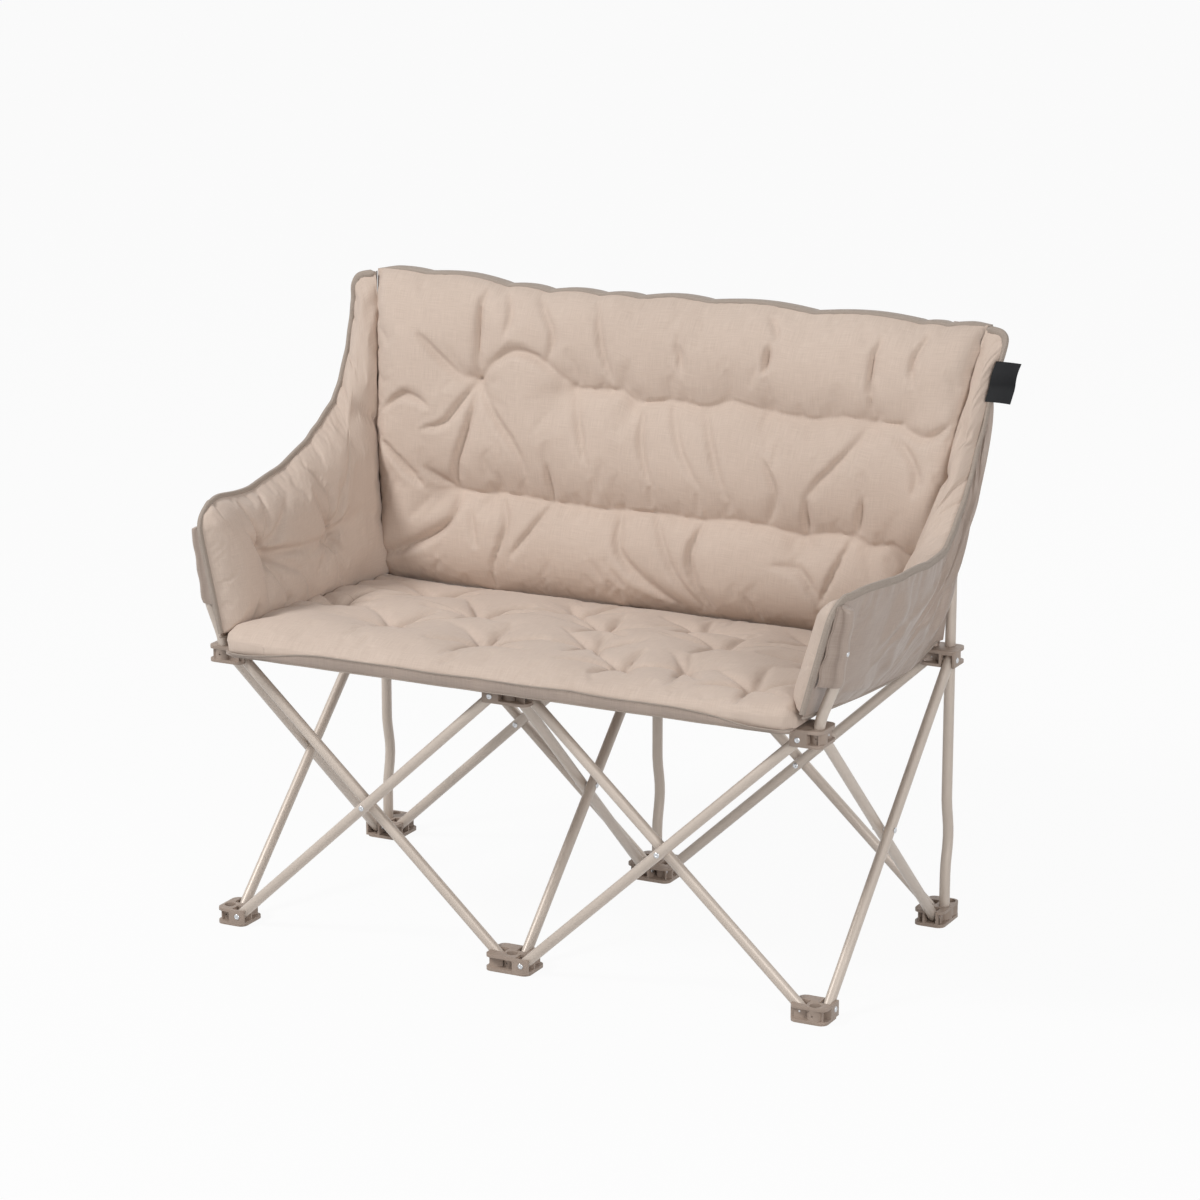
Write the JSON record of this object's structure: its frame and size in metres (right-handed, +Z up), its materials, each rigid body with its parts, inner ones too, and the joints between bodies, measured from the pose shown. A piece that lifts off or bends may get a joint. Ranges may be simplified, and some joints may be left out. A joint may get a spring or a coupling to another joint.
{
  "type": "folding camping loveseat",
  "caption": "Folding scissor-frame camping loveseat: quilted sling seat and back with padded wing arms, on crossed round tubes with moulded feet and hubs.",
  "frame": {"origin": "centre of the footprint box on the floor, under the seat", "axes": "+X to the right as seen from the front, along the width; +Y to the rear; +Z up"},
  "size_m": [1.0948, 0.5786, 0.911],
  "materials": {
    "tube": "satin powder coat",
    "moulding": "matte",
    "rivet": "bright zinc",
    "pad": "quilted woven polyester",
    "shell": "coated woven polyester",
    "label": "black woven tape"
  },
  "bodies": {
    "middle_back": {"foot_rear_middle": "moulding", "back_post_middle": "tube", "back_sleeve_middle": "shell", "back_pad": "pad", "back_shell": "shell"},
    "rear_right_rising_right": {"rear_right_tube_rising_right": "tube", "rear_right_rivet": "rivet"},
    "hub_rear_right": {"hub_rear_right": "moulding"},
    "rear_right_rising_left": {"rear_right_tube_rising_left": "tube"},
    "rear_right_corner": {"foot_rear_right": "moulding", "back_post_right": "tube", "back_sleeve_right": "shell", "label_tab": "label"},
    "hub_rear_middle": {"hub_rear_middle": "moulding"},
    "rear_left_rising_left": {"rear_left_tube_rising_left": "tube", "rear_left_rivet": "rivet"},
    "hub_rear_left": {"hub_rear_left": "moulding"},
    "rear_left_rising_right": {"rear_left_tube_rising_right": "tube"},
    "rear_left_corner": {"foot_rear_left": "moulding", "back_post_left": "tube", "back_sleeve_left": "shell"},
    "side_middle_rising_front": {"side_middle_tube_rising_front": "tube", "side_middle_rivet": "rivet"},
    "hub_front_middle": {"hub_front_middle": "moulding"},
    "side_middle_rising_back": {"side_middle_tube_rising_back": "tube"},
    "foot_front_middle": {"foot_front_middle": "moulding"},
    "side_left_rising_front": {"side_left_tube_rising_front": "tube", "side_left_rivet": "rivet"},
    "arm_post_left_corner": {"hub_front_left": "moulding", "arm_post_left": "tube", "arm_sleeve_left": "shell"},
    "side_left_rising_back": {"side_left_tube_rising_back": "tube"},
    "foot_front_left": {"foot_front_left": "moulding"},
    "side_right_rising_front": {"side_right_tube_rising_front": "tube", "side_right_rivet": "rivet"},
    "arm_post_right_corner": {"hub_front_right": "moulding", "arm_post_right": "tube", "arm_sleeve_right": "shell"},
    "side_right_rising_back": {"side_right_tube_rising_back": "tube"},
    "foot_front_right": {"foot_front_right": "moulding"},
    "front_right_rising_right": {"front_right_tube_rising_right": "tube", "front_right_rivet": "rivet"},
    "front_right_rising_left": {"front_right_tube_rising_left": "tube"},
    "front_left_rising_left": {"front_left_tube_rising_left": "tube", "front_left_rivet": "rivet"},
    "front_left_rising_right": {"front_left_tube_rising_right": "tube"},
    "seat_rear": {"seat_pad_rear": "pad", "seat_sling_rear": "shell"},
    "seat_front": {"seat_pad_front": "pad", "seat_sling_front": "shell"},
    "arm_cover_left": {"arm_pad_left": "pad", "side_shell_left": "shell"},
    "arm_cover_right": {"arm_pad_right": "pad", "side_shell_right": "shell"}
  },
  "joints": [
    {"name": "fold", "type": "hinge", "parent": "middle_back", "child": "rear_right_rising_right", "pos_m": [0.01221, 0.22525, 0.015], "axis": [0, -1, 0], "range_deg": [0, 39], "deforming": ["back_pad", "back_shell"]},
    {"name": "hub_rear_right_pivot", "type": "hinge", "parent": "rear_right_rising_right", "child": "hub_rear_right", "pos_m": [0.44421, 0.22525, 0.415], "axis": [0, 1, 0], "range_deg": [0, 39.5]},
    {"name": "rear_right_crossing", "type": "hinge", "parent": "rear_right_rising_right", "child": "rear_right_rising_left", "pos_m": [0.22821, 0.23375, 0.215], "axis": [0, 1, 0], "range_deg": [0, 78.5]},
    {"name": "foot_rear_right_pivot", "type": "hinge", "parent": "rear_right_rising_left", "child": "rear_right_corner", "pos_m": [0.44421, 0.24225, 0.015], "axis": [0, -1, 0], "range_deg": [0, 39.5]},
    {"name": "hub_rear_middle_pivot", "type": "hinge", "parent": "rear_right_rising_left", "child": "hub_rear_middle", "pos_m": [0.01221, 0.24225, 0.415], "axis": [0, -1, 0], "range_deg": [0, 39.5]},
    {"name": "rear_left_fold", "type": "hinge", "parent": "middle_back", "child": "rear_left_rising_left", "pos_m": [-0.03579, 0.24225, 0.015], "axis": [0, 1, 0], "range_deg": [0, 39.5]},
    {"name": "hub_rear_left_pivot", "type": "hinge", "parent": "rear_left_rising_left", "child": "hub_rear_left", "pos_m": [-0.46779, 0.24225, 0.415], "axis": [0, -1, 0], "range_deg": [0, 39.5]},
    {"name": "rear_left_crossing", "type": "hinge", "parent": "rear_left_rising_left", "child": "rear_left_rising_right", "pos_m": [-0.25179, 0.23375, 0.215], "axis": [0, -1, 0], "range_deg": [0, 78.5]},
    {"name": "foot_rear_left_pivot", "type": "hinge", "parent": "rear_left_rising_right", "child": "rear_left_corner", "pos_m": [-0.46779, 0.22525, 0.015], "axis": [0, 1, 0], "range_deg": [0, 39.5]},
    {"name": "side_middle_fold", "type": "hinge", "parent": "middle_back", "child": "side_middle_rising_front", "pos_m": [-0.02029, 0.20975, 0.015], "axis": [-1, 0, 0], "range_deg": [0, 39.5]},
    {"name": "hub_front_middle_pivot", "type": "hinge", "parent": "side_middle_rising_front", "child": "hub_front_middle", "pos_m": [-0.02029, -0.22225, 0.415], "axis": [1, 0, 0], "range_deg": [0, 39.5]},
    {"name": "side_middle_crossing", "type": "hinge", "parent": "side_middle_rising_front", "child": "side_middle_rising_back", "pos_m": [-0.01179, -0.00625, 0.215], "axis": [1, 0, 0], "range_deg": [0, 78.5]},
    {"name": "foot_front_middle_pivot", "type": "hinge", "parent": "side_middle_rising_back", "child": "foot_front_middle", "pos_m": [-0.00329, -0.22225, 0.015], "axis": [-1, 0, 0], "range_deg": [0, 39.5]},
    {"name": "side_left_fold", "type": "hinge", "parent": "rear_left_corner", "child": "side_left_rising_front", "pos_m": [-0.50029, 0.20975, 0.015], "axis": [-1, 0, 0], "range_deg": [0, 39.5]},
    {"name": "hub_front_left_pivot", "type": "hinge", "parent": "side_left_rising_front", "child": "arm_post_left_corner", "pos_m": [-0.50029, -0.22225, 0.415], "axis": [1, 0, 0], "range_deg": [0, 39.5]},
    {"name": "side_left_crossing", "type": "hinge", "parent": "side_left_rising_front", "child": "side_left_rising_back", "pos_m": [-0.49179, -0.00625, 0.215], "axis": [1, 0, 0], "range_deg": [0, 78.5]},
    {"name": "foot_front_left_pivot", "type": "hinge", "parent": "side_left_rising_back", "child": "foot_front_left", "pos_m": [-0.48329, -0.22225, 0.015], "axis": [-1, 0, 0], "range_deg": [0, 39.5]},
    {"name": "side_right_fold", "type": "hinge", "parent": "rear_right_corner", "child": "side_right_rising_front", "pos_m": [0.45971, 0.20975, 0.015], "axis": [-1, 0, 0], "range_deg": [0, 39.5]},
    {"name": "hub_front_right_pivot", "type": "hinge", "parent": "side_right_rising_front", "child": "arm_post_right_corner", "pos_m": [0.45971, -0.22225, 0.415], "axis": [1, 0, 0], "range_deg": [0, 39.5]},
    {"name": "side_right_crossing", "type": "hinge", "parent": "side_right_rising_front", "child": "side_right_rising_back", "pos_m": [0.46821, -0.00625, 0.215], "axis": [1, 0, 0], "range_deg": [0, 78.5]},
    {"name": "foot_front_right_pivot", "type": "hinge", "parent": "side_right_rising_back", "child": "foot_front_right", "pos_m": [0.47671, -0.22225, 0.015], "axis": [-1, 0, 0], "range_deg": [0, 39.5]},
    {"name": "front_right_fold", "type": "hinge", "parent": "foot_front_middle", "child": "front_right_rising_right", "pos_m": [0.01221, -0.25475, 0.015], "axis": [0, -1, 0], "range_deg": [0, 39.5]},
    {"name": "front_right_crossing", "type": "hinge", "parent": "front_right_rising_right", "child": "front_right_rising_left", "pos_m": [0.22821, -0.24625, 0.215], "axis": [0, 1, 0], "range_deg": [0, 78.5]},
    {"name": "front_left_fold", "type": "hinge", "parent": "foot_front_middle", "child": "front_left_rising_left", "pos_m": [-0.03579, -0.23775, 0.015], "axis": [0, 1, 0], "range_deg": [0, 39.5]},
    {"name": "front_left_crossing", "type": "hinge", "parent": "front_left_rising_left", "child": "front_left_rising_right", "pos_m": [-0.25179, -0.24625, 0.215], "axis": [0, -1, 0], "range_deg": [0, 78.5]},
    {"name": "seat_rear_fold", "type": "hinge", "parent": "hub_rear_middle", "child": "seat_rear", "pos_m": [-0.01179, 0.23375, 0.437], "axis": [-1, 0, 0], "range_deg": [0, 74.54], "deforming": ["seat_pad_rear", "seat_sling_rear"]},
    {"name": "seat_crease", "type": "hinge", "parent": "seat_rear", "child": "seat_front", "pos_m": [-0.01179, -0.00625, 0.437], "axis": [1, 0, 0], "range_deg": [0, 148.58], "deforming": ["seat_pad_front", "seat_sling_front"]},
    {"name": "arm_cover_left_gather", "type": "slide", "parent": "rear_left_corner", "child": "arm_cover_left", "axis": [0, 0.8854, 0.4649], "range_m": [0, 0.39506], "deforming": ["arm_pad_left", "side_shell_left"]},
    {"name": "arm_cover_right_gather", "type": "slide", "parent": "rear_right_corner", "child": "arm_cover_right", "axis": [0, 0.8854, 0.4649], "range_m": [0, 0.39506], "deforming": ["arm_pad_right", "side_shell_right"]}
  ],
  "couplings": [
    {"joint": "hub_rear_right_pivot", "follows": "fold", "ratio": 1},
    {"joint": "rear_right_crossing", "follows": "fold", "ratio": 2},
    {"joint": "foot_rear_right_pivot", "follows": "fold", "ratio": 1},
    {"joint": "hub_rear_middle_pivot", "follows": "fold", "ratio": 1},
    {"joint": "rear_left_fold", "follows": "fold", "ratio": 1},
    {"joint": "hub_rear_left_pivot", "follows": "fold", "ratio": 1},
    {"joint": "rear_left_crossing", "follows": "fold", "ratio": 2},
    {"joint": "foot_rear_left_pivot", "follows": "fold", "ratio": 1},
    {"joint": "side_middle_fold", "follows": "fold", "ratio": 1},
    {"joint": "hub_front_middle_pivot", "follows": "fold", "ratio": 1},
    {"joint": "side_middle_crossing", "follows": "fold", "ratio": 2},
    {"joint": "foot_front_middle_pivot", "follows": "fold", "ratio": 1},
    {"joint": "side_left_fold", "follows": "fold", "ratio": 1},
    {"joint": "hub_front_left_pivot", "follows": "fold", "ratio": 1},
    {"joint": "side_left_crossing", "follows": "fold", "ratio": 2},
    {"joint": "foot_front_left_pivot", "follows": "fold", "ratio": 1},
    {"joint": "side_right_fold", "follows": "fold", "ratio": 1},
    {"joint": "hub_front_right_pivot", "follows": "fold", "ratio": 1},
    {"joint": "side_right_crossing", "follows": "fold", "ratio": 2},
    {"joint": "foot_front_right_pivot", "follows": "fold", "ratio": 1},
    {"joint": "front_right_fold", "follows": "fold", "ratio": 1},
    {"joint": "front_right_crossing", "follows": "fold", "ratio": 2},
    {"joint": "front_left_fold", "follows": "fold", "ratio": 1},
    {"joint": "front_left_crossing", "follows": "fold", "ratio": 2},
    {"joint": "seat_rear_fold", "follows": "fold", "ratio": 1.8984},
    {"joint": "seat_crease", "follows": "fold", "ratio": 3.7968},
    {"joint": "arm_cover_left_gather", "follows": "fold", "m_per_rad": 0.57745},
    {"joint": "arm_cover_right_gather", "follows": "fold", "m_per_rad": 0.57745}
  ]
}
